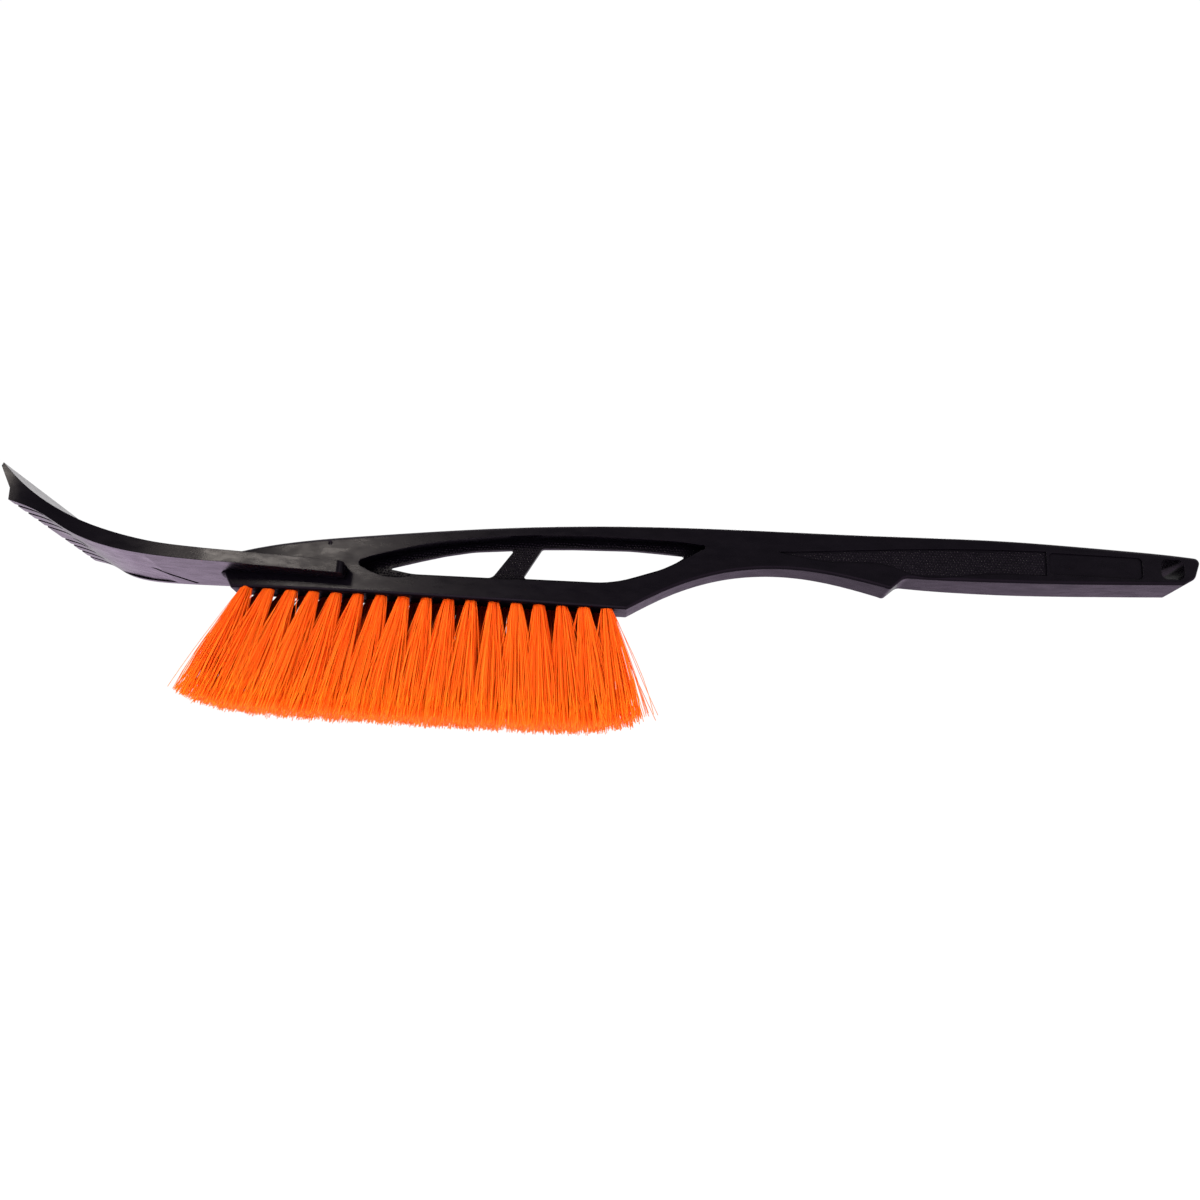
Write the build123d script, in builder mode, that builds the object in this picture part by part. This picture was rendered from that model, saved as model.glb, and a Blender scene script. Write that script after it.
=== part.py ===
"""Snow brush with ice scraper: a moulded body, a forked scraper blade, and two rows of bristle tufts.

Millimetres. +X runs from the scraping edge to the handle end, +Z is up, and the origin is on the
plane of the bristle tips, under the middle of the brush. The part is symmetric about Y = 0, apart
from the tufts, whose two rows stand half a pitch apart.
"""

from build123d import *
import math
import os

# ---- Driving dimensions ----
LENGTH = 660.0  # scraping edge to handle end, a 26 inch brush
BRISTLE_LENGTH = 70.0  # free length below the block
TUFT_PITCH = 12.7  # half an inch
FRONT_ROW_TUFTS = 17
BLADE_WIDTH = 110.0
GRIP_WIDTH = 28.0
PLATE_HEIGHT = 7.0  # height of the scraper's side arms

TIP_X = -LENGTH / 2
END_X = LENGTH / 2
BLOCK_Z = BRISTLE_LENGTH  # underside of the tuft block

# ---- Body ----
END_BULGE = 1.0  # at the nose, the side outline runs this far past the plan
PAST_END = 10.0  # at the handle end, the plan runs this far past the side outline
BLOCK_FRONT_X = -214.5
BLOCK_REAR_X = 9.5
NOSE_X = -222.5
NOSE_Z = BLOCK_Z + 7.5  # furthest forward point of the nose, at the underside of the scraper plate
NOSE_TOP = (NOSE_X - END_BULGE, BLOCK_Z + 18.2)
NOSE_CHAMFER = 3.5  # from the nose's front back to where the slope down to the block begins
HOOK_TIP = (157.0, BLOCK_Z + 20.3)
HOOK_HEEL = (165.0, BLOCK_Z + 27.4)
HOOK_RADII = [6.0, 2.6]
GRIP_FRONT = (172.0, BLOCK_Z + 27.2)
HANDLE_END_LOW = (320.5, BLOCK_Z + 32.0)
HANDLE_END_HIGH = (323.5, BLOCK_Z + 48.5)
HANDLE_END_CORNERS = [(END_X + 0.97, BLOCK_Z + 47.9), (END_X - 3.0, BLOCK_Z + 36.0)]
HANDLE_END_RADII = [3.0, 5.0]
# Points of the top line: x, and height above the block's underside.
TOP_LINE = [(-132.0, 34.6), (-47.0, 44.8), (45.0, 50.8), (140.0, 51.8), (225.0, 51.9), (290.0, 50.2)]
# The neck's lower line, from the block to the hook.
NECK_LINE = [(35.0, 14.6), (61.0, 24.4), (103.0, 29.2)]
GRIP_LINE = [(205.0, 27.1), (250.0, 28.3), (290.0, 30.3)]
# The plan: x, and half of the width there.
NOSE_BOW = (1.9, 5.3)  # a point of the nose's rounded front, from its tip
BLOCK_PLAN = [(-214.9, 7.6), (-190.0, 10.6), (-150.0, 12.3), (-110.0, 12.7)]
NECK_PLAN = [(-16.0, 10.8), (35.0, 9.3), (95.0, 9.2), (160.0, 11.2), (238.0, GRIP_WIDTH / 2)]
RIM_RADIUS = 1.6  # along the neck, the top and the grip
TOP_RIM_Z = 108.0  # the rims of the top line have their middle above this, those of the neck below
BLOCK_EDGE_RADIUS = 1.5
DIMPLE_CENTRE = (-160.0, 13.8, 98.0)  # of the ball that leaves a small moulding mark on each side
DIMPLE_BALL_RADIUS = 2.1

# ---- Bridge recess and windows ----
WEB_THICKNESS = 3.0
RECESS_TIP_LEFT = [(-140.1, 14.7), (-142.4, 17.1), (-139.9, 20.0)]
RECESS_TOP = [(-129.7, 23.6), (-105.6, 30.5), (-77.7, 35.8), (-46.1, 39.6), (-10.0, 41.6), (25.0, 41.9)]
RECESS_TIP_RIGHT = [(50.0, 40.6), (52.4, 39.2), (50.6, 37.6)]
RECESS_LOW = [(28.0, 23.9), (7.2, 16.3), (-14.0, 13.6), (-45.5, 12.9), (-79.0, 11.7), (-112.0, 10.9)]
# Corners of each window, with the radius at each corner.
WINDOW_1_TOP = [(-129.0, 18.0), (-110.2, 23.8), (-96.2, 27.8), (-80.0, 31.3), (-56.2, 33.7)]
WINDOW_1_LOW = [(-68.0, 15.9), (-113.6, 15.5)]
WINDOW_1_RADII = [0.8, 60.0, 60.0, 60.0, 1.2, 5.0, 40.0]
WINDOW_2_TOP = [(-50.8, 16.5), (-40.6, 35.2), (-22.6, 36.3), (9.8, 37.4), (24.2, 36.9), (43.0, 36.0)]
WINDOW_2_LOW = [(36.7, 31.3), (28.3, 26.8), (7.2, 19.2), (-4.0, 17.0)]
WINDOW_2_RADII = [1.5, 2.0, 100.0, 100.0, 100.0, 1.2, 40.0, 40.0, 60.0, 60.0]
WINDOWS = [(WINDOW_1_TOP + WINDOW_1_LOW, WINDOW_1_RADII), (WINDOW_2_TOP + WINDOW_2_LOW, WINDOW_2_RADII)]

# ---- Grip recesses and hang hole ----
SKIN_DEPTH = 0.8  # depth of the textured and label recesses
TEXTURE_TOP = [(133.0, 42.0), (190.0, 45.5), (243.8, 46.8)]
TEXTURE_LOW = [(243.8, 32.4), (205.0, 30.6), (166.0, 30.0), (157.0, 33.2), (126.0, 34.2), (106.0, 36.4)]
TEXTURE_START = (93.5, 39.2)
LABEL_X = (245.2, 297.4)
LABEL_Z = (BLOCK_Z + 33.4, BLOCK_Z + 46.2)
LABEL_RADIUS = 2.5
HANG_HOLE_CENTRE = (314.3, BLOCK_Z + 40.5)
HANG_HOLE_SIZE = (13.0, 11.6)
HANG_HOLE_RADIUS = 3.5

# ---- Tufts ----
REAR_ROW_TUFTS = FRONT_ROW_TUFTS - 1
ROW_OFFSET = 6.0  # each row's distance from the centre plane
TUFT_RADIUS = 2.6
HOLE_CLEARANCE = 0.05
HOLE_DEPTH = 10.0
FIRST_TUFT_X = -205.0
ROOT_CENTRE_X = FIRST_TUFT_X + TUFT_PITCH * (FRONT_ROW_TUFTS - 1) / 2
FIELD_FLARE = 1.21  # how much longer the field of tips is than the field of roots
TIP_CENTRE_X = ROOT_CENTRE_X - 5.6  # the tips lean a little towards the scraper
TUFT_GAP = 0.3
TIP_DEPTH = 14.0  # of one tuft, across the brush
TRIM_SHARE = 0.6  # the trimmed end of a tuft slopes by this share of its lean
ANCHOR_THICKNESS = 0.4
ANCHOR_HEIGHT = 2.0
ANCHOR_LENGTH = 5.1
ANCHOR_CLEARANCE = 0.05
ANCHOR_Z = BLOCK_Z + 7.0  # middle of the wire anchors

# ---- Scraper ----
SCRAPER_EDGE = [(TIP_X, 117.0), (TIP_X + 0.7, 119.0)]  # lower and upper corner of the scraping edge
SCRAPER_TOP = [(-311.5, 103.9), (-286.0, 92.9), (-259.0, 88.1)]
SCRAPER_LOW = [(-309.0, 94.4), (-295.7, 87.5), (-279.3, 82.4), (-254.0, 79.9)]
PLATE_START_X = -213.5
PLATE_START_Z = 79.2  # underside of the plate where the arms begin
ARM_END_X = -148.5
ARM_DROP = 2.3  # the arms slope down towards their ends
NOTCH = (-323.6, 105.0)
LOWER_LIP = (-323.2, 98.4)
BLADE_PLAN = [(-311.0, 50.0), (-295.7, 41.7), (-279.3, 35.3), (-254.0, 29.0), (-229.0, 25.9)]
BLADE_CORNER_RADIUS = 1.0
ARM_HALF_SPAN = 25.4
ARM_END_RADIUS = 3.0
FLANGE_THICKNESS = 3.0
CHANNEL_FLOOR = [(-292.0, 97.5), (-288.0, 91.5), (-275.0, 87.0), (-254.0, 83.4), (-213.5, 82.4)]
CHANNEL_END = (-150.0, 80.3)
SPINE_WIDTH = 3.0
# The floor of the shallow panel under the blade, which runs out at both ends.
PANEL_FLOOR = [(-307.0, 92.9), (-295.7, 87.9), (-283.0, 84.3), (-272.0, 82.0), (-262.3, 80.9), (-256.0, 79.6)]
BAR_CENTRE = (-254.5, 12.0, 79.2)  # a thin diagonal groove under the blade
BAR_SIZE = (30.6, 2.8, 4.0)
BAR_ANGLE = 51.6
GROOVE_WIDTH = 3.6
GROOVE_PITCH = 11.4
FIRST_GROOVE_Y = 10.9
GROOVES_PER_SIDE = 4
GROOVE_LENGTH = 15.0
GROOVE_DEPTH = 3.6
GROOVE_END_Z = 95.5
RIB_WIDTH = 5.6  # solid between two pockets, behind each groove
POCKET = [(-327.0, 104.4), (-318.0, 104.4), (-306.5, 97.6), (-306.5, 96.6), (-318.4, 100.0), (-327.0, 100.8)]
MARKER = [(-313.0, 0.0), (-303.0, 4.5), (-303.0, -4.5)]  # small triangular sink under the blade
MARKER_Z = (88.0, 96.2)
TONGUE_DEPTH = 2.0  # how far the arms' inner edges sit in the body's side grooves
TONGUE_HEIGHTS = (2.2, 4.8)  # above the arms' underside
FIT = 0.15  # clearance of the fork round the body


def above_block(points):
    """Points given by height above the block's underside, in part coordinates."""
    return [(x, BLOCK_Z + height) for x, height in points]


def save(piece, name):
    """Label a finished piece and write it as its own STEP file."""
    piece.label = name
    export_step(piece, f"parts/{name}.step")


def widened(points, grow):
    """Plan points moved away from the centre plane by a distance."""
    return [(x, y + grow) for x, y in points]


def body_plan(grow):
    """Plan outline of the body, grown or shrunk by a distance; used for the body and what fits it."""
    past_end = END_X + PAST_END
    nose_tip = (NOSE_X - grow, 0)
    nose_bow = (NOSE_X + NOSE_BOW[0] - grow, NOSE_BOW[1] + grow)
    shoulder, *block_points, widest = widened(BLOCK_PLAN, grow)
    neck_points = widened(NECK_PLAN, grow)
    with BuildSketch(Plane.XY) as plan:
        with BuildLine():
            ThreePointArc(nose_tip, nose_bow, shoulder)
            Spline(shoulder, *block_points, widest, tangents=((1, 0.15), (1, 0)))
            neck = Spline(widest, *neck_points, tangents=((1, 0), (1, 0)))
            Polyline(neck @ 1, (past_end, GRIP_WIDTH / 2 + grow), (past_end, 0), nose_tip)
        make_face()
        mirror(about=Plane.XZ)
    return plan.sketch


def body_side(plane):
    """Side outline of the body, without its windows."""
    with BuildSketch(plane) as side:
        with BuildLine():
            top_points = [NOSE_TOP] + above_block(TOP_LINE) + [HANDLE_END_HIGH]
            top = Spline(*top_points, tangents=((1, 0.3), (1, -0.08)))
            FilletPolyline(HANDLE_END_HIGH, *HANDLE_END_CORNERS, HANDLE_END_LOW, radius=HANDLE_END_RADII)
            grip_points = [HANDLE_END_LOW] + above_block(reversed(GRIP_LINE)) + [GRIP_FRONT]
            Spline(*grip_points, tangents=((-1, -0.06), (-1, 0.03)))
            hook_start = (HOOK_TIP[0] - 3.0, HOOK_TIP[1] + 0.9)
            FilletPolyline(GRIP_FRONT, HOOK_HEEL, HOOK_TIP, hook_start, radius=HOOK_RADII)
            neck_points = [hook_start] + above_block(reversed(NECK_LINE)) + [(BLOCK_REAR_X, BLOCK_Z)]
            neck = Spline(*neck_points, tangents=((-1, 0.24), (-1, -0.62)))
            nose_low = [(NOSE_X + NOSE_CHAMFER, NOSE_Z), (NOSE_X - END_BULGE, NOSE_Z)]
            Polyline(neck @ 1, (BLOCK_FRONT_X, BLOCK_Z), *nose_low, top @ 0)
        make_face()
    return side.sketch


def rims(part):
    """The edges along the two sides of a part, without those that run straight across it."""
    return [edge for edge in part.edges() if abs(edge.center().Y) > 3 and edge.bounding_box().size.X > 0.3]


def recess_outline(plane):
    """Outline of the eye-shaped recess in the bridge."""
    left_tip = above_block(RECESS_TIP_LEFT)
    right_tip = above_block(RECESS_TIP_RIGHT)
    top_points = [left_tip[-1]] + above_block(RECESS_TOP) + [right_tip[0]]
    low_points = [right_tip[-1]] + above_block(RECESS_LOW) + [left_tip[0]]
    with BuildSketch(plane) as eye:
        with BuildLine():
            ThreePointArc(*left_tip)
            Spline(*top_points, tangents=((1, 0.45), (1, -0.12)))
            ThreePointArc(*right_tip)
            Spline(*low_points, tangents=((-0.8, -0.55), (-1, 0.5)))
        make_face()
    return eye.sketch


def window_outline(plane, points, radii):
    """A window in the web: a polygon with each corner rounded by its own radius."""
    with BuildSketch(plane) as window:
        with BuildLine():
            FilletPolyline(*above_block(points), radius=radii, close=True)
        make_face()
    return window.sketch


def grip_texture_outline(plane):
    """Outline of the textured part of the grip recess."""
    with BuildSketch(plane) as outline:
        with BuildLine():
            start = (TEXTURE_START[0], BLOCK_Z + TEXTURE_START[1])
            top = Spline(start, *above_block(TEXTURE_TOP), tangents=((1, 0.05), (1, 0.02)))
            low = Spline(*above_block(TEXTURE_LOW), start, tangents=((-1, -0.05), (-1, 0.35)))
            Line(top @ 1, low @ 0)
        make_face()
    return outline.sketch


def rounded_box(plane, centre, size, radius):
    """A rounded rectangle in the side view."""
    with BuildSketch(plane) as outline:
        with Locations(centre):
            RectangleRounded(size[0], size[1], radius)
    return outline.sketch


def tuft_places():
    """(name, x, y) of each tuft: the front row on -Y, and the rear row half a pitch along."""
    places = []
    for i in range(FRONT_ROW_TUFTS):
        places.append((f"tuft_front_{i + 1:02d}", FIRST_TUFT_X + TUFT_PITCH * i, -ROW_OFFSET))
    for i in range(REAR_ROW_TUFTS):
        places.append((f"tuft_rear_{i + 1:02d}", FIRST_TUFT_X + TUFT_PITCH * (i + 0.5), ROW_OFFSET))
    return places


def skin_pocket(outline):
    """The shallow space between the body's sides and a floor SKIN_DEPTH inside them."""
    with BuildPart() as pocket:
        extrude(outline, amount=2 * DEEP)
        extrude(body_plan(-SKIN_DEPTH), amount=TALL, mode=Mode.SUBTRACT)
    return pocket.part


def plate_band(low, high, inset):
    """A band along the arms, outside the body's plan shrunk by the inset, inside the blade's plan."""
    slope = -ARM_DROP / (ARM_END_X - PLATE_START_X)
    start_x = NOSE_X - 1.0
    end_x = ARM_END_X + FIT
    corners = [(start_x, low), (end_x, low), (end_x, high), (start_x, high)]
    points = [(x, PLATE_START_Z + height + slope * (x - PLATE_START_X)) for x, height in corners]
    with BuildPart() as band:
        with BuildSketch(SIDE) as outline:
            with BuildLine():
                Polyline(*points, close=True)
            make_face()
        extrude(outline.sketch, amount=2 * DEEP)
        extrude(body_plan(-inset), amount=TALL, mode=Mode.SUBTRACT)
    return band.part


def blade_plan(inset):
    """Plan outline of the scraper, shrunk by a distance: the flared blade and the arms' outer sides."""
    corner = (TIP_X - 1, BLADE_WIDTH / 2 - inset)
    arm_start = (PLATE_START_X, ARM_HALF_SPAN - inset)
    arm_end = (ARM_END_X - inset, ARM_HALF_SPAN - inset)
    with BuildSketch(Plane.XY) as plan:
        with BuildLine():
            side_points = [corner] + widened(BLADE_PLAN, -inset) + [arm_start]
            side = Spline(*side_points, tangents=((1, -0.05), (1, 0)))
            Polyline(side @ 1, arm_end, (arm_end[0], 0), (corner[0], 0), corner)
        make_face()
        mirror(about=Plane.XZ)
        fillet(plan.vertices().group_by(Axis.X)[0], radius=BLADE_CORNER_RADIUS)
        fillet(plan.vertices().group_by(Axis.X)[-1], radius=ARM_END_RADIUS)
    return plan.sketch


def scraper_side(plane):
    """Side outline of the scraper."""
    arm_low = (ARM_END_X, PLATE_START_Z - ARM_DROP)
    arm_high = (ARM_END_X, PLATE_START_Z - ARM_DROP + PLATE_HEIGHT)
    with BuildSketch(plane) as side:
        with BuildLine():
            plate_top = (PLATE_START_X, PLATE_START_Z + PLATE_HEIGHT)
            top = Spline(SCRAPER_EDGE[1], *SCRAPER_TOP, plate_top, tangents=((0.7, -0.71), (1, -0.03)))
            low_points = [(PLATE_START_X, PLATE_START_Z)] + SCRAPER_LOW[::-1] + [LOWER_LIP]
            low = Spline(*low_points, tangents=((-1, 0.01), (-1, 0.25)))
            Polyline(top @ 1, arm_high, arm_low, low @ 0)
            Polyline(low @ 1, NOTCH, SCRAPER_EDGE[0], top @ 0)
        make_face()
    return side.sketch


def channel_side(plane):
    """Side outline of the channel in the scraper's upper face, between the flanges."""
    with BuildSketch(plane) as channel:
        with BuildLine():
            floor = Spline(*CHANNEL_FLOOR)
            above_end = (CHANNEL_END[0], SCRAPER_EDGE[1][1])
            above_start = (CHANNEL_FLOOR[0][0], SCRAPER_EDGE[1][1])
            Polyline(floor @ 1, CHANNEL_END, above_end, above_start, floor @ 0)
        make_face()
    return channel.sketch


def panel_side(plane):
    """Side outline of the shallow panel under the blade."""
    with BuildSketch(plane) as panel:
        with BuildLine():
            floor = Spline(*PANEL_FLOOR)
            Polyline(floor @ 1, (PANEL_FLOOR[-1][0], BLOCK_Z), (PANEL_FLOOR[0][0], BLOCK_Z), floor @ 0)
        make_face()
    return panel.sketch


os.makedirs("parts", exist_ok=True)
DEEP = 60.0  # far enough to each side to pass right through the body and the blade
TALL = 140.0  # higher than the whole brush
SIDE = Plane.XZ.offset(-DEEP)  # side outlines drawn here are extruded by twice DEEP towards -Y
label_centre = ((LABEL_X[0] + LABEL_X[1]) / 2, (LABEL_Z[0] + LABEL_Z[1]) / 2)
label_size = (LABEL_X[1] - LABEL_X[0], LABEL_Z[1] - LABEL_Z[0])

# ---- Body ----
with BuildPart() as body:
    extrude(body_side(SIDE), amount=2 * DEEP)
    extrude(body_plan(0), amount=TALL, mode=Mode.INTERSECT)
    # Rounded rims: first the neck, then the top and the grip, then the tuft block.
    fillet([edge for edge in rims(body) if BLOCK_REAR_X < edge.center().X < HOOK_HEEL[0]
            and edge.center().Z < TOP_RIM_Z], radius=RIM_RADIUS)
    fillet([edge for edge in rims(body) if edge.center().Z > TOP_RIM_Z or edge.center().X > HOOK_HEEL[0]],
           radius=RIM_RADIUS)
    fillet([edge for edge in rims(body) if edge.center().Z < NOSE_Z + 0.5
            and edge.center().X < BLOCK_REAR_X + 2], radius=BLOCK_EDGE_RADIUS)
    # The bridge: an eye-shaped recess from each side, leaving a thin web with two windows.
    for side in (1, -1):
        web_face = Plane.XZ.offset(side * WEB_THICKNESS / 2)
        extrude(recess_outline(web_face), amount=side * DEEP, mode=Mode.SUBTRACT)
    for points, radii in WINDOWS:
        extrude(window_outline(SIDE, points, radii), amount=2 * DEEP, mode=Mode.SUBTRACT)
    # The grip's textured panel and its smooth label panel.
    add(skin_pocket(grip_texture_outline(SIDE)), mode=Mode.SUBTRACT)
    add(skin_pocket(rounded_box(SIDE, label_centre, label_size, LABEL_RADIUS)), mode=Mode.SUBTRACT)
    hang_hole = rounded_box(SIDE, HANG_HOLE_CENTRE, HANG_HOLE_SIZE, HANG_HOLE_RADIUS)
    extrude(hang_hole, amount=2 * DEEP, mode=Mode.SUBTRACT)
    for side in (1, -1):
        with Locations((DIMPLE_CENTRE[0], side * DIMPLE_CENTRE[1], DIMPLE_CENTRE[2])):
            Sphere(DIMPLE_BALL_RADIUS, mode=Mode.SUBTRACT)
    # The grooves for the scraper's tongues.
    add(plate_band(*TONGUE_HEIGHTS, TONGUE_DEPTH), mode=Mode.SUBTRACT)
    # One blind hole for each tuft, drilled up from the block's underside.
    with Locations(*[Location((x, y, BLOCK_Z), (180, 0, 0)) for name, x, y in tuft_places()]):
        Hole(TUFT_RADIUS + HOLE_CLEARANCE, HOLE_DEPTH)
save(body.part, "body")

# ---- Scraper ----
with BuildPart() as scraper:
    extrude(scraper_side(SIDE), amount=2 * DEEP)
    extrude(blade_plan(0), amount=TALL, mode=Mode.INTERSECT)
    # The channel in the upper face, with a spine left along its middle.
    with BuildPart(mode=Mode.PRIVATE) as channel:
        extrude(channel_side(SIDE), amount=2 * DEEP)
        extrude(blade_plan(FLANGE_THICKNESS), amount=TALL, mode=Mode.INTERSECT)
        with Locations((PLATE_START_X, 0, 0)):
            Box(LENGTH, SPINE_WIDTH, 2 * TALL, mode=Mode.SUBTRACT)
    add(channel.part, mode=Mode.SUBTRACT)
    # The shallow panel under the blade.
    with BuildPart(mode=Mode.PRIVATE) as panel:
        extrude(panel_side(SIDE), amount=2 * DEEP)
        extrude(blade_plan(FLANGE_THICKNESS), amount=TALL, mode=Mode.INTERSECT)
    add(panel.part, mode=Mode.SUBTRACT)
    with Locations(Location(BAR_CENTRE, (0, 0, BAR_ANGLE))):
        Box(*BAR_SIZE, mode=Mode.SUBTRACT)
    # The ice-breaking grooves across the lower lip, running out along the underside.
    half_row = [FIRST_GROOVE_Y + GROOVE_PITCH * i for i in range(GROOVES_PER_SIDE)]
    groove_ys = [-y for y in reversed(half_row)] + half_row
    with BuildSketch(Plane.XZ) as groove:
        with BuildLine():
            Polyline(
                (LOWER_LIP[0] - GROOVE_DEPTH, BLOCK_Z),
                (LOWER_LIP[0] - GROOVE_DEPTH, LOWER_LIP[1] + GROOVE_DEPTH),
                (LOWER_LIP[0], LOWER_LIP[1] + GROOVE_DEPTH),
                (LOWER_LIP[0] + GROOVE_LENGTH, GROOVE_END_Z),
                (LOWER_LIP[0] + GROOVE_LENGTH, BLOCK_Z),
                close=True,
            )
        make_face()
    for y in groove_ys:
        groove_side = Plane.XZ.offset(-y - GROOVE_WIDTH / 2)
        extrude(groove_side * groove.sketch_local, amount=GROOVE_WIDTH, mode=Mode.SUBTRACT)
    # The pockets between the upper and the lower skin, one between each two ribs.
    for low_y, high_y in zip(groove_ys, groove_ys[1:]):
        width = high_y - low_y - RIB_WIDTH
        with BuildSketch(Plane.XZ.offset(-high_y + RIB_WIDTH / 2)) as pocket:
            with BuildLine():
                Polyline(*POCKET, close=True)
            make_face()
        extrude(pocket.sketch, amount=width, mode=Mode.SUBTRACT)
    with BuildSketch(Plane.XY.offset(MARKER_Z[0])) as marker:
        with BuildLine():
            Polyline(*MARKER, close=True)
        make_face()
    extrude(marker.sketch, amount=MARKER_Z[1] - MARKER_Z[0], mode=Mode.SUBTRACT)
    # The fork: a slot that takes the body's nose, with tongues that run in the body's side grooves.
    extrude(body_plan(FIT), amount=TALL, mode=Mode.SUBTRACT)
    with BuildPart(mode=Mode.PRIVATE) as tongues:
        add(plate_band(TONGUE_HEIGHTS[0] + FIT, TONGUE_HEIGHTS[1] - FIT, TONGUE_DEPTH - FIT))
        extrude(blade_plan(FIT), amount=TALL, mode=Mode.INTERSECT)
    add(tongues.part)
save(scraper.part, "scraper")


# ---- Tufts ----
def tuft_solid(x, y):
    """One tuft: a round root over its wire anchor in its hole, and a fan trimmed to the brush's line."""
    tip_x = TIP_CENTRE_X + FIELD_FLARE * (x - ROOT_CENTRE_X)
    lean = math.asin((tip_x - x) / BRISTLE_LENGTH)
    tip_width = TUFT_PITCH * FIELD_FLARE - TUFT_GAP
    trim = TRIM_SHARE * lean
    drop = abs(math.sin(trim)) * tip_width / 2
    tip_z = max(BRISTLE_LENGTH * (1 - math.cos(lean)) + drop / 2, drop)
    tip_y = math.copysign((TIP_DEPTH + TUFT_GAP) / 2, y)
    along_end = (math.cos(trim), 0, -math.sin(trim))
    trimmed_end = Plane((tip_x, tip_y, tip_z), x_dir=along_end, z_dir=(math.sin(trim), 0, math.cos(trim)))
    root_top = BLOCK_Z + HOLE_DEPTH - TUFT_GAP
    neck_z = BLOCK_Z - TUFT_GAP
    with BuildPart() as tuft:
        with BuildSketch(Plane.XY.offset(neck_z)):
            with Locations((x, y)):
                Circle(TUFT_RADIUS)
        extrude(amount=root_top - neck_z)
        with Locations((x, y, ANCHOR_Z)):
            Box(
                3 * TUFT_RADIUS,
                ANCHOR_THICKNESS + 2 * ANCHOR_CLEARANCE,
                ANCHOR_HEIGHT + 2 * ANCHOR_CLEARANCE,
                mode=Mode.SUBTRACT,
            )
        with BuildSketch(Plane.XY.offset(neck_z)):
            with Locations((x, y)):
                RectangleRounded(2 * TUFT_RADIUS, 2 * TUFT_RADIUS, TUFT_RADIUS * 0.8)
        with BuildSketch(trimmed_end):
            RectangleRounded(tip_width, TIP_DEPTH, TUFT_RADIUS * 0.8)
        loft()
    return tuft.part


for name, x, y in tuft_places():
    save(tuft_solid(x, y), name)

# ---- Wire anchors ----
with BuildPart() as tuft_anchors:
    with Locations(*[(x, y, ANCHOR_Z) for name, x, y in tuft_places()]):
        Box(ANCHOR_LENGTH, ANCHOR_THICKNESS, ANCHOR_HEIGHT)
save(tuft_anchors.part, "tuft_anchors")
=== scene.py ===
"""Snow brush with ice scraper: materials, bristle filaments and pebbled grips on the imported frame.

Metres, in the frame's own axes: +X to the handle end, +Z up, the bristle tips on Z = 0.
"""

import math
import random

import bpy
from mathutils import Matrix, Vector
from mathutils.bvhtree import BVHTree


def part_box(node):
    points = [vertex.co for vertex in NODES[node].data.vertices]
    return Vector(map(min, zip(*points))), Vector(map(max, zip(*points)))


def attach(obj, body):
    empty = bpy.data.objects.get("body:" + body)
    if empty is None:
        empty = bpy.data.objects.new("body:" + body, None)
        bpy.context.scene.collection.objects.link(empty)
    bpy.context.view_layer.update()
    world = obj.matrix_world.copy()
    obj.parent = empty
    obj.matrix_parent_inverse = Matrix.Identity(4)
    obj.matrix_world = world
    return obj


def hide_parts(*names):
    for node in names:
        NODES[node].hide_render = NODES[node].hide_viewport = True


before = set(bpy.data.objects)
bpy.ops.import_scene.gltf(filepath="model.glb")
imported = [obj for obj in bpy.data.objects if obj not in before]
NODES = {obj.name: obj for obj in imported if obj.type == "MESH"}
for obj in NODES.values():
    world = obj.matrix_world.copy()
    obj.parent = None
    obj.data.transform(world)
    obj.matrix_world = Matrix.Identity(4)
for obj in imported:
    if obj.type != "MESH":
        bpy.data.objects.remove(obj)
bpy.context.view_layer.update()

MM = 0.001
FRONT_TUFTS = sorted(name for name in NODES if name.startswith("tuft_front_"))
REAR_TUFTS = sorted(name for name in NODES if name.startswith("tuft_rear_"))
BODY_LOW, BODY_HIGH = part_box("body")
BLOCK_Z = BODY_LOW.z  # the underside of the tuft block

# ---- Filaments ----
FILAMENTS_PER_TUFT = 200
FILAMENT_RADIUS = (0.17 * MM, 0.23 * MM)
FILAMENT_SIDES = 5
FILAMENT_RINGS = 9
ROOT_DEPTH = 2.0 * MM  # the filaments start this far up inside their hole
ROOT_RADIUS = 2.4 * MM
FRONT_SHOULDER = 1.0 * MM  # a tuft swells by this much as it leaves its hole
REAR_SHOULDER = 3.7 * MM
SHOULDER_SHARE = 0.04  # share of its length over which the swelling levels off
FRONT_PAINTED_SHADE = -0.08  # painted shade: a tuft stays as dark as at the block over this share of its length; below 0 it starts out lighter
# the rear row is painted in shade over more of its length
REAR_PAINTED_SHADE = 0.16
FAN_X = 10.4 * MM  # half of what the tips of one tuft spread further, along the brush
FAN_Y = 6.2 * MM  # and across it
FAN_CURVE = 0.95  # below 1, the fan opens faster near the block
RING_POWER = 1.6  # above 1, the rings stand closer together near the block
CLUMPS = 8
CLUMP_PULL = 0.45  # the most that a filament moves towards its clump, as a share of the way
TIP_JITTER = 1.1 * MM
TIP_SCATTER = 0.7 * MM  # unevenness of the trim
SHORT_TIPS = 0.5 * MM  # and what some filaments lack on top of it
BEND = 2.1 * MM  # spread of the sideways bow, of which a filament shows a little over half
STRAY_SHARE = 0.05
END_STRAY_SHARE = 0.2  # at both ends of the rows
STRAY_FAN_X = (1.3, 2.2)  # how many times further a stray filament fans out
STRAY_FAN_Y = (1.1, 1.5)
TRIM_MIDDLE = 0.8 * MM
TRIM_RISE = 5.4 * MM  # the trimmed tips rise by this much at the ends of the brush
TRIM_POWER = 6.0
TRIM_REACH = 1.12  # the rise stops growing this far out, in half lengths of the row
TUFT_SEED = 100

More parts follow.
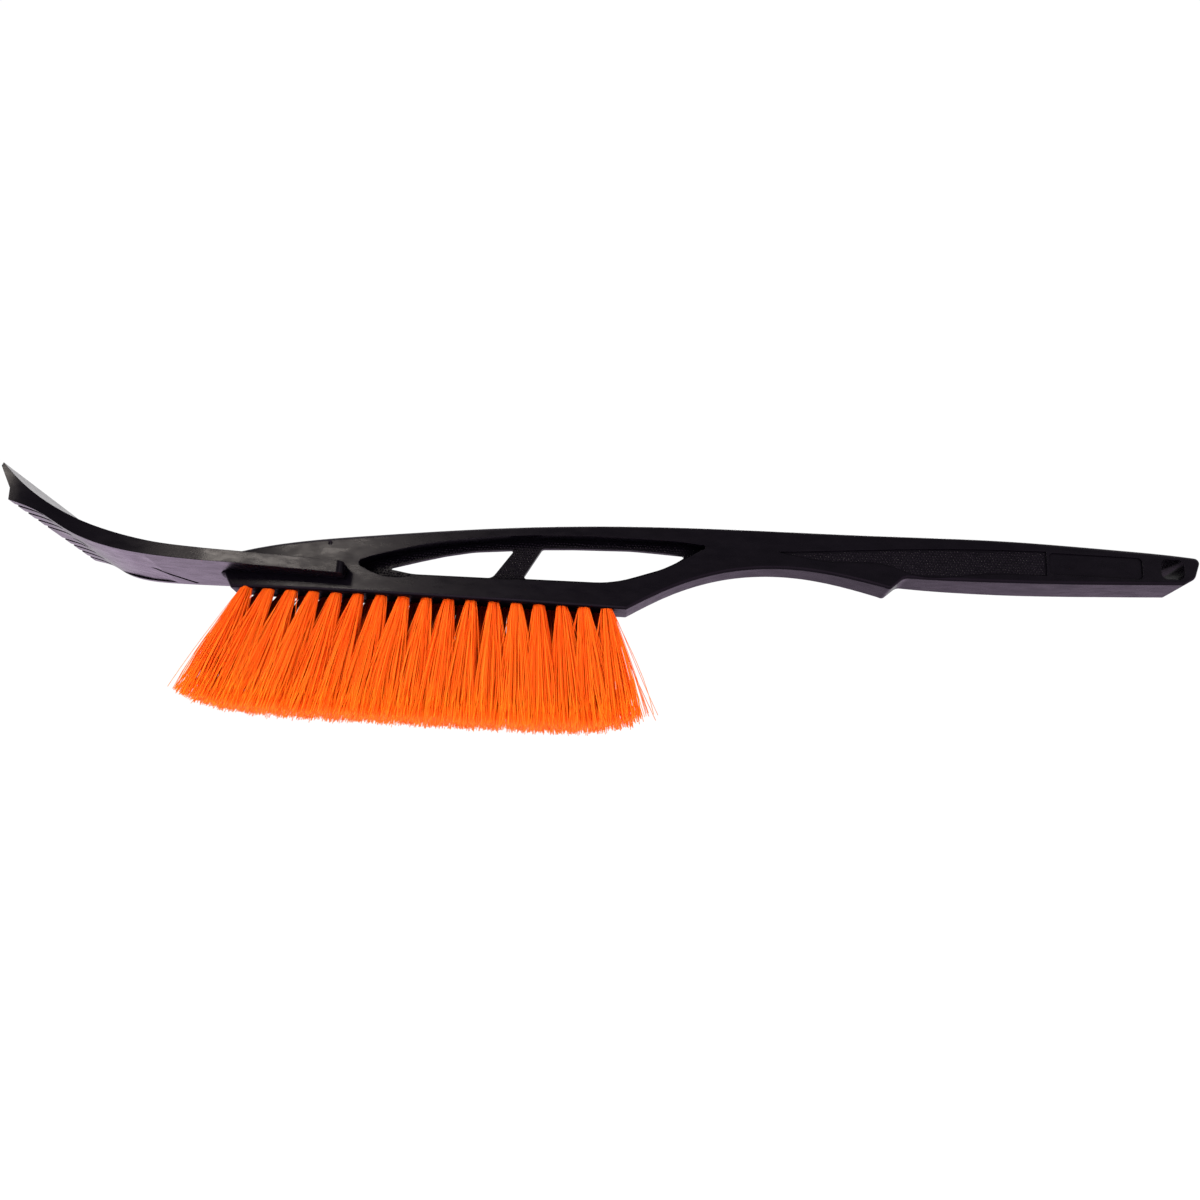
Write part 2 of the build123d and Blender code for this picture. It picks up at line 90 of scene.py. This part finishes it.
# ---- Pebbles on the sunk panels ----
PEBBLE_PITCH = 1.75 * MM
PEBBLE_RADIUS = (0.62 * MM, 0.86 * MM)
PEBBLE_HEIGHT = (0.2 * MM, 0.34 * MM)
PEBBLE_JITTER = 0.16 * MM
PEBBLE_CORNERS = 7
PEBBLE_PROFILE = ((1.0, -0.15), (0.72, 0.62), (0.34, 0.93))  # shares of the radius and of the height
PEBBLE_MARGIN = 0.1 * MM  # flat floor that has to be left round a pebble
FLOOR_TOLERANCE = 0.3 * MM  # how uneven that floor may be
PEBBLE_SEED = 40
PANEL_DEPTHS = (0.5 * MM, 1.1 * MM)  # a sunk panel lies this far inside the body's sides
WEB_HALF = 2.0 * MM  # the bridge's web lies within this distance of the middle
LABEL_START_X = 0.245  # the smooth label panel begins here
WALL_SAMPLES = 26

# ---- Looks ----
BLACK = ((0.0009, 0.0008, 0.0013), (0.0017, 0.0015, 0.0023))
BLACK_TINT = (1.0, 0.82, 1.0, 1.0)  # the faint purple cast of the shine
HOLLOW_REACH = 9 * MM  # faces with neighbours this close shine less
HOLLOW_SHINE = 0.45  # share of the shine left in a hollow
OPEN_SHINE = 0.85  # and in the open
DOWNWARD = (-0.9, -0.4)  # heights of the normal over which a face turns from looking down to sideways
UPWARD = (0.3, 0.7)  # and from sideways to up
ORANGE = ((0.8, 0.075, 0.002), (0.97, 0.17, 0.009))
ORANGE_ALONG_WITH_ROOT_SHADE = (  # share of the filament's length, and what its colour is multiplied by there; the darkening towards 0 is painted shade among the roots
    (0.0, (0.1, 0.02, 0.05, 1.0)),
    (0.1, (0.9, 0.8, 0.8, 1.0)),
    (0.25, (0.98, 0.92, 0.9, 1.0)),
    (0.8, (1.0, 1.12, 1.1, 1.0)),
    (0.95, (1.0, 1.3, 0.9, 1.0)),
    (1.0, (1.0, 1.2, 0.7, 1.0)),
)

# ---- Stage ----
FLOOR_HALF = 60.0
FLOOR_LEVEL = -0.55
FLOOR_PAINT = (0.86, 0.86, 0.86)
FLOOR_GLOW = (0.95, 0.58, 1.05, 1.0)  # brings the floor up to white, with a lavender cast in reflections
SKY_NEAR = (0.3, (0.6, 0.585, 0.62, 1.0))  # behind the camera: place in the ramp and colour
SKY_FAR = (0.62, (1.0, 1.0, 1.0, 1.0))  # behind the brush
SKY_STRENGTH = 1.02
CAMERA_PLACE = (0.0049, -0.62, -0.0957)
CAMERA_PITCH = math.radians(15.6)
CAMERA_ROLL = math.radians(3.5)
CAMERA_LENS = 33.9
CAMERA_SENSOR = 36.0


# ---- Materials ----
def new_material(name):
    """A material with an empty tree, its Principled shader and a helper that makes nodes."""
    material = bpy.data.materials.new(name)
    material.use_nodes = True
    tree = material.node_tree
    tree.nodes.clear()
    output = tree.nodes.new("ShaderNodeOutputMaterial")
    shader = tree.nodes.new("ShaderNodeBsdfPrincipled")
    tree.links.new(shader.outputs["BSDF"], output.inputs["Surface"])
    return material, tree, shader


def noise(tree, scale, detail, roughness=0.5, stretch=(1, 1, 1)):
    """Object-space noise, in features per metre, optionally stretched."""
    coordinates = tree.nodes.new("ShaderNodeTexCoord")
    mapping = tree.nodes.new("ShaderNodeMapping")
    mapping.inputs["Scale"].default_value = stretch
    texture = tree.nodes.new("ShaderNodeTexNoise")
    texture.inputs["Scale"].default_value = scale
    texture.inputs["Detail"].default_value = detail
    texture.inputs["Roughness"].default_value = roughness
    tree.links.new(coordinates.outputs["Object"], mapping.inputs["Vector"])
    tree.links.new(mapping.outputs["Vector"], texture.inputs["Vector"])
    return texture.outputs["Fac"]


def remap(tree, value, low, high, start=0.0, end=1.0):
    """A value from start..end spread over low..high."""
    node = tree.nodes.new("ShaderNodeMapRange")
    node.inputs["From Min"].default_value = start
    node.inputs["From Max"].default_value = end
    node.inputs["To Min"].default_value = low
    node.inputs["To Max"].default_value = high
    tree.links.new(value, node.inputs["Value"])
    return node.outputs["Result"]


def bump(tree, height, distance, strength, normal=None):
    """A bump of that distance, on top of another normal."""
    node = tree.nodes.new("ShaderNodeBump")
    node.inputs["Distance"].default_value = distance
    node.inputs["Strength"].default_value = strength
    tree.links.new(height, node.inputs["Height"])
    if normal is not None:
        tree.links.new(normal, node.inputs["Normal"])
    return node.outputs["Normal"]


def two_colours(tree, value, low, high):
    """A colour between two, by a value."""
    ramp = tree.nodes.new("ShaderNodeValToRGB")
    ramp.color_ramp.elements[0].color = (*low, 1.0)
    ramp.color_ramp.elements[1].color = (*high, 1.0)
    tree.links.new(value, ramp.inputs["Fac"])
    return ramp.outputs["Color"]


def face_shine(tree, below, side, above):
    """Shine by the way a face looks, down, sideways or up, which fades out in slots and corners."""
    geometry = tree.nodes.new("ShaderNodeNewGeometry")
    split = tree.nodes.new("ShaderNodeSeparateXYZ")
    tree.links.new(geometry.outputs["Normal"], split.inputs["Vector"])
    low = remap(tree, split.outputs["Z"], below, side, *DOWNWARD)
    high = remap(tree, split.outputs["Z"], 0.0, above - side, *UPWARD)
    hollow = tree.nodes.new("ShaderNodeAmbientOcclusion")
    hollow.samples = 8
    hollow.inputs["Distance"].default_value = HOLLOW_REACH
    open_share = remap(tree, hollow.outputs["AO"], 0.0, 1.0, HOLLOW_SHINE, OPEN_SHINE)
    together = tree.nodes.new("ShaderNodeMath")
    together.operation = "ADD"
    tree.links.new(low, together.inputs[0])
    tree.links.new(high, together.inputs[1])
    shaded = tree.nodes.new("ShaderNodeMath")
    shaded.operation = "MULTIPLY"
    tree.links.new(together.outputs["Value"], shaded.inputs[0])
    tree.links.new(open_share, shaded.inputs[1])
    return shaded.outputs["Value"]


def moulded_plastic(name, colours, roughness, grain, shine):
    """Near-black moulded plastic: fine grain, slight unevenness, faint rubbed patches and soft edges."""
    material, tree, shader = new_material(name)
    dark, light = colours
    shader.inputs["IOR"].default_value = 1.45
    tree.links.new(face_shine(tree, *shine), shader.inputs["Specular IOR Level"])
    shader.inputs["Specular Tint"].default_value = BLACK_TINT
    patches = remap(tree, noise(tree, scale=34.0, detail=4.0), 0.0, 1.0, start=0.35, end=0.75)
    tree.links.new(two_colours(tree, patches, dark, light), shader.inputs["Base Color"])
    rubbed = noise(tree, scale=260.0, detail=5.0, roughness=0.6, stretch=(0.35, 1, 1))
    uneven = remap(tree, rubbed, roughness - 0.05, roughness + 0.09, start=0.3, end=0.7)
    tree.links.new(uneven, shader.inputs["Roughness"])
    soft_edges = tree.nodes.new("ShaderNodeBevel")
    soft_edges.samples = 4
    soft_edges.inputs["Radius"].default_value = 0.45 * MM
    waves = noise(tree, scale=24.0, detail=2.0)
    sinks = bump(tree, waves, distance=0.35 * MM, strength=0.5, normal=soft_edges.outputs["Normal"])
    grains = noise(tree, scale=2600.0, detail=3.0, roughness=0.6)
    fine = bump(tree, grains, distance=grain, strength=0.6, normal=sinks)
    tree.links.new(fine, shader.inputs["Normal"])
    return material


def bristle_plastic(name):
    """Orange filaments: each its own tone, darkened at the root as painted shade and yellower towards the
    cut end.
    """
    material, tree, shader = new_material(name)
    tone = tree.nodes.new("ShaderNodeAttribute")
    tone.attribute_name = "tone"
    along = tree.nodes.new("ShaderNodeAttribute")
    along.attribute_name = "along"
    base = two_colours(tree, tone.outputs["Fac"], *ORANGE)
    length_and_shade_ramp = tree.nodes.new("ShaderNodeValToRGB")
    stops = length_and_shade_ramp.color_ramp.elements
    for stop, (place, colour) in zip(stops, (ORANGE_ALONG_WITH_ROOT_SHADE[0], ORANGE_ALONG_WITH_ROOT_SHADE[-1])):
        stop.position = place
        stop.color = colour
    for place, colour in ORANGE_ALONG_WITH_ROOT_SHADE[1:-1]:
        stops.new(place).color = colour
    tree.links.new(along.outputs["Fac"], length_and_shade_ramp.inputs["Fac"])
    blend = tree.nodes.new("ShaderNodeMix")
    blend.data_type = "RGBA"
    blend.blend_type = "MULTIPLY"
    blend.inputs["Factor"].default_value = 1.0
    tree.links.new(base, blend.inputs["A"])
    tree.links.new(length_and_shade_ramp.outputs["Color"], blend.inputs["B"])
    tree.links.new(blend.outputs["Result"], shader.inputs["Base Color"])
    shader.inputs["Specular IOR Level"].default_value = 0.08
    shader.inputs["Subsurface Weight"].default_value = 0.12
    shader.inputs["Subsurface Radius"].default_value = (1.0, 0.2, 0.05)
    shader.inputs["Subsurface Scale"].default_value = 1.0 * MM
    streaks = noise(tree, scale=900.0, detail=2.0, stretch=(1, 1, 0.12))
    tree.links.new(remap(tree, streaks, low=0.32, high=0.5), shader.inputs["Roughness"])
    tree.links.new(bump(tree, streaks, distance=0.04 * MM, strength=0.5), shader.inputs["Normal"])
    return material


def wire_steel(name):
    """Plain drawn steel for the anchors."""
    material, tree, shader = new_material(name)
    shader.inputs["Metallic"].default_value = 1.0
    shader.inputs["Base Color"].default_value = (0.55, 0.55, 0.56, 1.0)
    drawn = noise(tree, scale=1500.0, detail=3.0, roughness=0.6, stretch=(0.1, 1, 1))
    tree.links.new(remap(tree, drawn, low=0.25, high=0.45), shader.inputs["Roughness"])
    tree.links.new(bump(tree, drawn, distance=0.02 * MM, strength=0.5), shader.inputs["Normal"])
    return material


def stage_material(name, colour, roughness):
    """Matt paint for the floor, which glows up to white."""
    material, tree, shader = new_material(name)
    tint = noise(tree, scale=3.0, detail=2.0)
    low = tuple(0.985 * part for part in colour)
    tree.links.new(two_colours(tree, tint, low, colour), shader.inputs["Base Color"])
    shader.inputs["Roughness"].default_value = roughness
    shader.inputs["Specular IOR Level"].default_value = 0.1
    shader.inputs["Emission Color"].default_value = FLOOR_GLOW
    shader.inputs["Emission Strength"].default_value = 1.0
    return material


# ---- Filaments ----
def trim_height(x, tip_centre, half_length):
    """Height of the trimmed tips along the brush: level in the middle, rising towards both ends."""
    share = min(abs(x - tip_centre) / half_length, TRIM_REACH)
    return TRIM_MIDDLE + TRIM_RISE * share**TRIM_POWER


def in_disc(chance):
    """An even point of the unit disc."""
    angle = chance.uniform(0, 2 * math.pi)
    radius = math.sqrt(chance.random())
    return radius * math.cos(angle), radius * math.sin(angle)


def filament_points(chance, root, tip_middle, spread, shoulder, stray_share, field):
    """The centre line of one filament, from inside its hole to its cut end."""
    disc_x, disc_y = spread
    start = Vector((root.x + disc_x * ROOT_RADIUS, root.y + disc_y * ROOT_RADIUS, BLOCK_Z + ROOT_DEPTH))
    tip_x = tip_middle.x + chance.gauss(0, TIP_JITTER)
    tip_y = tip_middle.y + chance.gauss(0, TIP_JITTER)
    fan_x = disc_x * FAN_X
    fan_y = disc_y * FAN_Y
    if chance.random() < stray_share:
        fan_x *= chance.uniform(*STRAY_FAN_X)
        fan_y *= chance.uniform(*STRAY_FAN_Y)
    trimmed = trim_height(tip_x + fan_x, *field)
    end_z = trimmed + chance.gauss(0, TIP_SCATTER) + abs(chance.gauss(0, SHORT_TIPS))
    bend_x = chance.gauss(0, BEND)
    bend_y = chance.gauss(0, BEND)
    lean_x = tip_x - start.x
    lean_y = tip_y - start.y
    points = []
    for ring in range(FILAMENT_RINGS + 1):
        along = (ring / FILAMENT_RINGS) ** RING_POWER
        fan = along**FAN_CURVE
        swell = shoulder * (1 - math.exp(-along / SHOULDER_SHARE))
        bow = math.sin(math.pi * along) * along
        x = start.x + lean_x * along + disc_x * swell + fan_x * fan + bend_x * bow
        y = start.y + lean_y * along + disc_y * swell + fan_y * fan + bend_y * bow
        points.append(Vector((x, y, start.z + (end_z - start.z) * along)))
    return points


def add_tube(points, radius, tone, turn, painted_shade, mesh_data):
    """A thin tube along the points, closed at its tip, added to the lists of one tuft's mesh."""
    vertices, faces, tones, alongs = mesh_data
    first = len(vertices)
    for ring, point in enumerate(points):
        for side in range(FILAMENT_SIDES):
            angle = turn + 2 * math.pi * side / FILAMENT_SIDES
            x = point.x + radius * math.cos(angle)
            y = point.y + radius * math.sin(angle)
            vertices.append((x, y, point.z))
            tones.append(tone)
            # the along value, held back by the painted shade, keeps the root end dark
            alongs.append(max((ring / FILAMENT_RINGS) ** RING_POWER - painted_shade, 0.0))
    for ring in range(FILAMENT_RINGS):
        for side in range(FILAMENT_SIDES):
            here = first + ring * FILAMENT_SIDES
            after = (side + 1) % FILAMENT_SIDES
            above = here + FILAMENT_SIDES
            faces.append((here + side, here + after, above + after, above + side))
    last = first + FILAMENT_RINGS * FILAMENT_SIDES
    faces.append(tuple(last + side for side in range(FILAMENT_SIDES)))
    faces.append(tuple(first + FILAMENT_SIDES - 1 - side for side in range(FILAMENT_SIDES)))


def mesh_object(name, vertices, faces, material, smooth):
    """A mesh object in the row frame with one material."""
    mesh = bpy.data.meshes.new(name)
    mesh.from_pydata(vertices, [], faces)
    mesh.polygons.foreach_set("use_smooth", [smooth] * len(mesh.polygons))
    mesh.materials.append(material)
    mesh.update()
    piece = bpy.data.objects.new(name, mesh)
    bpy.context.scene.collection.objects.link(piece)
    return piece


def set_attribute(mesh, name, values):
    """A float per point that the material reads."""
    attribute = mesh.attributes.new(name, "FLOAT", "POINT")
    attribute.data.foreach_set("value", values)


def middle_of(points):
    """The middle of the box round some points."""
    low = Vector([min(point[axis] for point in points) for axis in range(3)])
    high = Vector([max(point[axis] for point in points) for axis in range(3)])
    return (low + high) / 2


def tuft_ends(node):
    """Where a tuft leaves the block and where its fan ends, from its CAD solid."""
    vertices = [vertex.co for vertex in NODES[node].data.vertices]
    top = max(point.z for point in vertices)
    root = [point for point in vertices if point.z > top - MM]
    tips = [point for point in vertices if point.z < BLOCK_Z / 2]
    return middle_of(root), middle_of(tips)


def make_tuft(node, seed, stray_share, field, material):
    """One tuft of filaments in place of its CAD solid."""
    chance = random.Random(seed)
    root, tip = tuft_ends(node)
    in_front = node in FRONT_TUFTS
    shoulder = FRONT_SHOULDER if in_front else REAR_SHOULDER
    painted_shade = FRONT_PAINTED_SHADE if in_front else REAR_PAINTED_SHADE
    clumps = [in_disc(chance) for place in range(CLUMPS)]
    mesh_data = ([], [], [], [])
    for filament in range(FILAMENTS_PER_TUFT):
        spread_x, spread_y = in_disc(chance)
        clump_x, clump_y = min(
            clumps,
            key=lambda clump: (clump[0] - spread_x) ** 2 + (clump[1] - spread_y) ** 2,
        )
        pull = CLUMP_PULL * chance.random()
        spread = (spread_x + (clump_x - spread_x) * pull, spread_y + (clump_y - spread_y) * pull)
        points = filament_points(chance, root, tip, spread, shoulder, stray_share, field)
        radius = chance.uniform(*FILAMENT_RADIUS)
        add_tube(points, radius, chance.random(), chance.uniform(0, math.pi), painted_shade, mesh_data)
    vertices, faces, tones, alongs = mesh_data
    piece = mesh_object("filaments_" + node, vertices, faces, material, True)
    set_attribute(piece.data, "tone", tones)
    set_attribute(piece.data, "along", alongs)
    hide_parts(node)
    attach(piece, "root")


# ---- Pebbles ----
def panel_finder():
    """A function that says how deep below the body's sides a ray along Y lands, and where."""
    mesh = NODES["body"].data
    points = [vertex.co for vertex in mesh.vertices]
    tree = BVHTree.FromPolygons(points, [tuple(face.vertices) for face in mesh.polygons])
    far = 2 * BODY_HIGH.y
    columns = {}

    def hit(x, z, side):
        place = tree.ray_cast(Vector((x, side * far, z)), Vector((0, -side, 0)))[0]
        return None if place is None else abs(place.y)

    def outer(x, side):
        key = (round(x / MM), side)
        if key not in columns:
            step = (BODY_HIGH.z - BODY_LOW.z) / WALL_SAMPLES
            found = [hit(x, BODY_LOW.z + step * (i + 0.5), side) for i in range(WALL_SAMPLES)]
            columns[key] = max((y for y in found if y is not None), default=None)
        return columns[key]

    def panel(x, z, side):
        y = hit(x, z, side)
        wall = outer(x, side)
        if y is None or wall is None:
            return None
        if y < WEB_HALF:
            return y
        if PANEL_DEPTHS[0] < wall - y < PANEL_DEPTHS[1] and x < LABEL_START_X:
            return y
        return None

    return panel


def pebble_dome(x, y, z, side, radius, height, turn, vertices, faces):
    """A low rounded bump standing on a floor that faces side * Y."""
    first = len(vertices)
    for share, rise in PEBBLE_PROFILE:
        for corner in range(PEBBLE_CORNERS):
            angle = turn + 2 * math.pi * corner / PEBBLE_CORNERS
            vertices.append((
                x + radius * share * math.cos(angle),
                side * (y + height * rise),
                z + radius * share * math.sin(angle),
            ))
    vertices.append((x, side * (y + height), z))
    top = len(vertices) - 1
    for ring in range(len(PEBBLE_PROFILE) - 1):
        here = first + ring * PEBBLE_CORNERS
        inner = here + PEBBLE_CORNERS
        for corner in range(PEBBLE_CORNERS):
            after = (corner + 1) % PEBBLE_CORNERS
            quad = (here + corner, here + after, inner + after, inner + corner)
            faces.append(quad if side < 0 else quad[::-1])
    last = top - PEBBLE_CORNERS
    for corner in range(PEBBLE_CORNERS):
        triangle = (last + corner, last + (corner + 1) % PEBBLE_CORNERS, top)
        faces.append(triangle if side < 0 else triangle[::-1])


def make_pebbles(material):
    """The pebbled grip panels and bridge webs: low domes on a staggered grid, where a sunk panel lies."""
    panel = panel_finder()
    for side, label in ((-1, "front"), (1, "back")):
        chance = random.Random(PEBBLE_SEED + side)
        vertices = []
        faces = []
        row_step = PEBBLE_PITCH * math.sqrt(3) / 2
        rows = int((BODY_HIGH.z - BODY_LOW.z) / row_step)
        columns = int((LABEL_START_X - BODY_LOW.x) / PEBBLE_PITCH)
        for row in range(rows):
            for column in range(columns):
                x = BODY_LOW.x + PEBBLE_PITCH * (column + 0.5 * (row % 2)) + chance.gauss(0, PEBBLE_JITTER)
                z = BODY_LOW.z + row_step * row + chance.gauss(0, PEBBLE_JITTER)
                radius = chance.uniform(*PEBBLE_RADIUS)
                height = chance.uniform(*PEBBLE_HEIGHT)
                turn = chance.uniform(0, math.pi)
                floor = panel(x, z, side)
                reach = radius + PEBBLE_MARGIN
                around = [(x + reach, z), (x - reach, z), (x, z + reach), (x, z - reach)]
                nearby = [panel(near_x, near_z, side) for near_x, near_z in around]
                if floor is None:
                    continue
                if any(near is None or abs(near - floor) > FLOOR_TOLERANCE for near in nearby):
                    continue
                pebble_dome(x, floor, z, side, radius, height, turn, vertices, faces)
        piece = mesh_object("pebbles_" + label, vertices, faces, material, True)
        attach(piece, "root")


# ---- Stage, light and camera ----
def make_floor(material):
    """A wide pale floor well below the brush."""
    signs = ((-1, -1), (1, -1), (1, 1), (-1, 1))
    corners = [(x * FLOOR_HALF, y * FLOOR_HALF, FLOOR_LEVEL) for x, y in signs]
    floor = mesh_object("floor", corners, [(0, 1, 2, 3)], material, False)


def make_world():
    """White surroundings behind the brush, a little darker behind the camera."""
    world = bpy.data.worlds.new("surroundings")
    bpy.context.scene.world = world
    world.use_nodes = True
    tree = world.node_tree
    tree.nodes.clear()
    output = tree.nodes.new("ShaderNodeOutputWorld")
    background = tree.nodes.new("ShaderNodeBackground")
    coordinates = tree.nodes.new("ShaderNodeTexCoord")
    split = tree.nodes.new("ShaderNodeSeparateXYZ")
    ramp = tree.nodes.new("ShaderNodeValToRGB")
    tree.links.new(coordinates.outputs["Generated"], split.inputs["Vector"])
    tree.links.new(remap(tree, split.outputs["Y"], 0.0, 1.0, -1.0, 1.0), ramp.inputs["Fac"])
    for stop, (place, colour) in zip(ramp.color_ramp.elements, (SKY_NEAR, SKY_FAR)):
        stop.position = place
        stop.color = colour
    tree.links.new(ramp.outputs["Color"], background.inputs["Color"])
    background.inputs["Strength"].default_value = SKY_STRENGTH
    tree.links.new(background.outputs["Background"], output.inputs["Surface"])


def add_light(name, place, target, size, power, colour):
    """A soft square light aimed at a point."""
    data = bpy.data.lights.new(name, "AREA")
    data.shape = "SQUARE"
    data.size = size
    data.energy = power
    data.color = colour
    light = bpy.data.objects.new(name, data)
    bpy.context.scene.collection.objects.link(light)
    light.location = place
    light.rotation_euler = (Vector(target) - Vector(place)).to_track_quat("-Z", "Y").to_euler()


def make_lights():
    """Soft lights above the brush's front, side and back, a weak one below, and one for the olive sheen."""
    add_light("key", (-0.75, -1.1, 1.5), (-0.05, 0, 0.05), 1.1, 15.0, (1.0, 0.99, 0.97))
    add_light("side", (1.3, -0.9, 1.0), (0.05, 0, 0.08), 0.9, 6.0, (0.97, 0.98, 1.0))
    add_light("low", (-0.3, -1.0, -0.45), (-0.1, 0, 0.04), 0.7, 3.0, (1.0, 0.97, 1.0))
    add_light("back", (0.2, 1.3, 1.2), (0, 0, 0.08), 1.0, 12.0, (1.0, 1.0, 1.0))
    add_light("sheen", (-0.68, -1.42, 0.54), (-0.18, -0.0125, 0.1), 0.22, 13.0, (1.0, 1.1, 0.84))


def make_camera():
    """The camera looks up a little at the brush from in front of its middle."""
    right = Vector((math.cos(CAMERA_ROLL), 0, math.sin(CAMERA_ROLL)))
    rise = math.sin(CAMERA_PITCH)
    forward = Vector((-rise * math.sin(CAMERA_ROLL), math.cos(CAMERA_PITCH), rise * math.cos(CAMERA_ROLL)))
    up = right.cross(forward)
    data = bpy.data.cameras.new("camera")
    data.sensor_width = CAMERA_SENSOR
    data.lens = CAMERA_LENS
    camera = bpy.data.objects.new("camera", data)
    bpy.context.scene.collection.objects.link(camera)
    turned = Matrix((right, up, -forward)).transposed().to_4x4()
    camera.matrix_world = Matrix.Translation(CAMERA_PLACE) @ turned
    bpy.context.scene.camera = camera


def dress_frame(handle, scraper, bristles, steel):
    """Gives the CAD nodes their materials."""
    for node, piece in NODES.items():
        if node in FRONT_TUFTS or node in REAR_TUFTS:
            material = bristles
        elif node == "tuft_anchors":
            material = steel
        elif node == "scraper":
            material = scraper
        else:
            material = handle
        piece.data.materials.clear()
        piece.data.materials.append(material)


# ---- The scene ----
bpy.context.scene.view_settings.view_transform = "Standard"
handle_plastic = moulded_plastic(
    "handle_plastic", BLACK, roughness=0.28, grain=0.012 * MM, shine=(0.02, 0.09, 0.3)
)
scraper_plastic = moulded_plastic(
    "scraper_plastic", BLACK, roughness=0.26, grain=0.008 * MM, shine=(0.1, 0.09, 1.0)
)
pebble_plastic = moulded_plastic(
    "pebble_plastic", BLACK, roughness=0.18, grain=0.005 * MM, shine=(0.09, 0.09, 0.2)
)
bristle_orange = bristle_plastic("bristle_orange")
dress_frame(handle_plastic, scraper_plastic, bristle_orange, wire_steel("anchor_steel"))

tip_xs = [tuft_ends(name)[1].x for name in FRONT_TUFTS]
tip_field = ((tip_xs[0] + tip_xs[-1]) / 2, (tip_xs[-1] - tip_xs[0]) / 2)
row_ends = (FRONT_TUFTS[0], FRONT_TUFTS[-1], REAR_TUFTS[0], REAR_TUFTS[-1])
for index, tuft_name in enumerate(FRONT_TUFTS + REAR_TUFTS):
    strays = END_STRAY_SHARE if tuft_name in row_ends else STRAY_SHARE
    make_tuft(tuft_name, TUFT_SEED + index, strays, tip_field, bristle_orange)
make_pebbles(pebble_plastic)

make_floor(stage_material("floor_paint", FLOOR_PAINT, roughness=0.8))
make_world()
make_lights()
make_camera()
